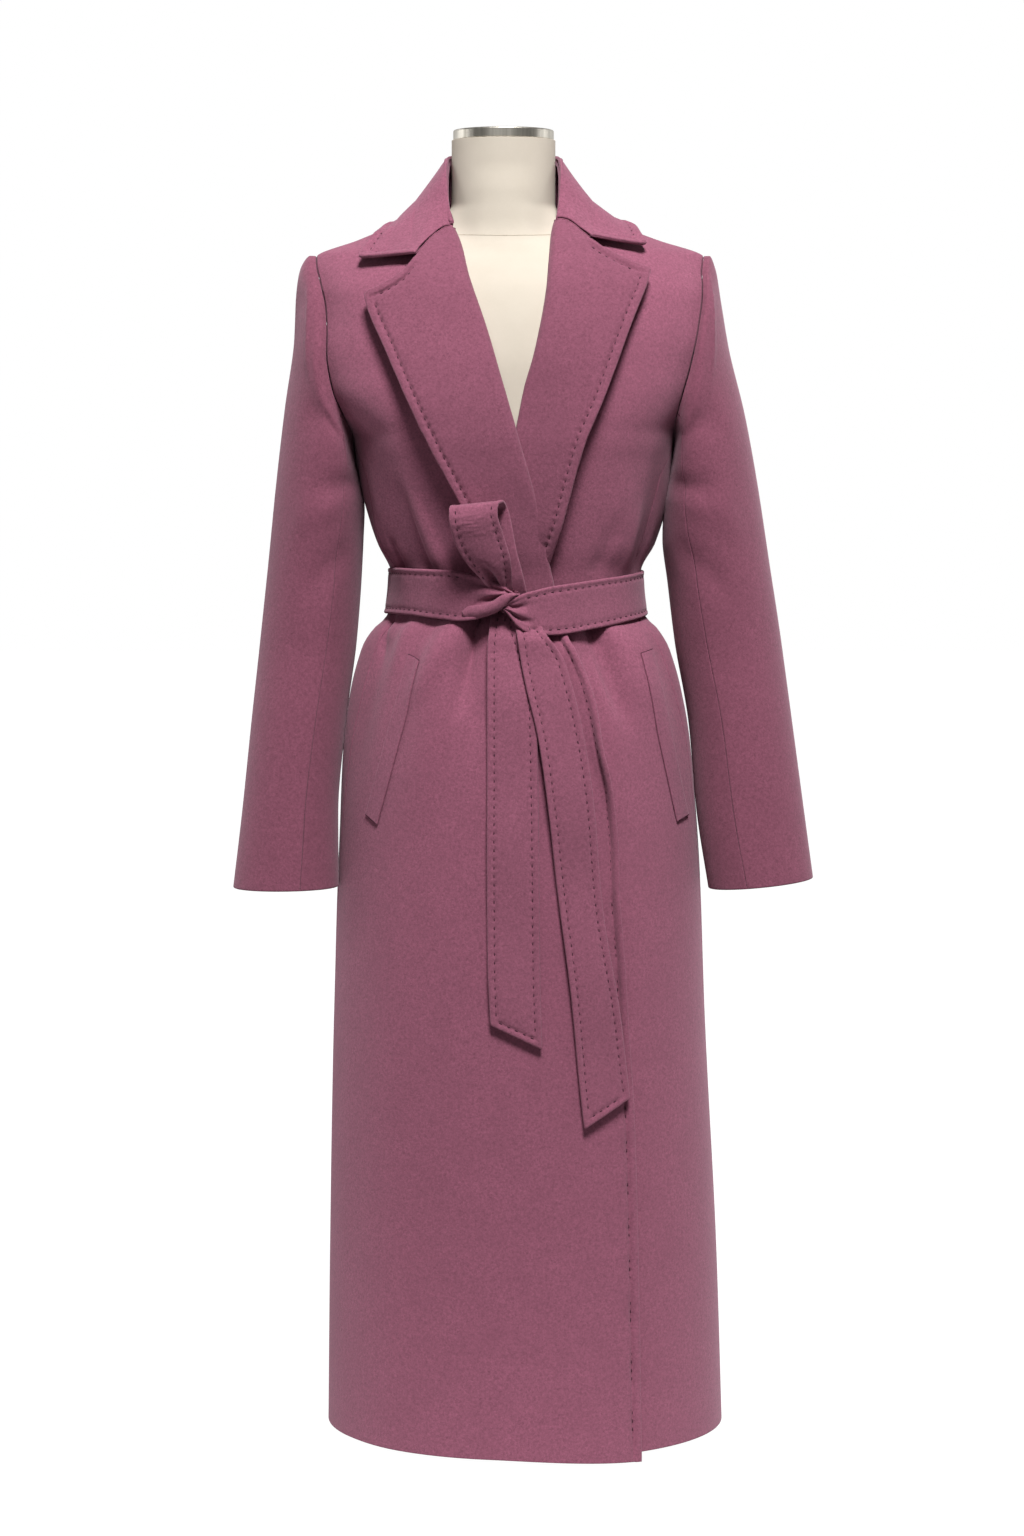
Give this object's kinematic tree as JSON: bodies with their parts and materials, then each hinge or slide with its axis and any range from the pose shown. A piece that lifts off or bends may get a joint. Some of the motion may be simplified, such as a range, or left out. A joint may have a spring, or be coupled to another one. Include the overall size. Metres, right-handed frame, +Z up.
{
  "type": "wrap coat on a dress form",
  "caption": "Long wool wrap coat with notched lapels, slanted welt pockets and a self belt tied in a half bow, shown on a limbless dress form with a low stand.",
  "frame": {"origin": "middle of the underside of the stand's base, on the floor", "axes": "+Z up along the stand; the coat's front faces -Y and the wearer's right side is at -X"},
  "size_m": [0.5873, 0.3249, 1.334],
  "materials": {
    "wool": "felted wool, matte",
    "wool_trim": "felted wool, matte",
    "wool_belt": "felted wool, matte",
    "linen": "plain linen over a hard shell",
    "metal": "brushed",
    "stand": "satin dark paint"
  },
  "bodies": {
    "root": {"front_right": "wool", "front_left": "wool", "back": "wool", "lapel_right": "wool_trim", "lapel_left": "wool_trim", "collar": "wool_trim", "sleeve_right_top": "wool", "sleeve_right_under": "wool", "sleeve_left_top": "wool", "sleeve_left_under": "wool", "pocket_welt_right": "wool_trim", "pocket_welt_left": "wool_trim", "belt_band": "wool_belt", "belt_knot": "wool_belt", "belt_loop": "wool_belt", "belt_tail_right": "wool_belt", "belt_tail_left": "wool_belt", "form_torso": "linen", "form_cap": "metal", "stand_pole": "stand", "stand_base": "stand"}
  },
  "joints": []
}
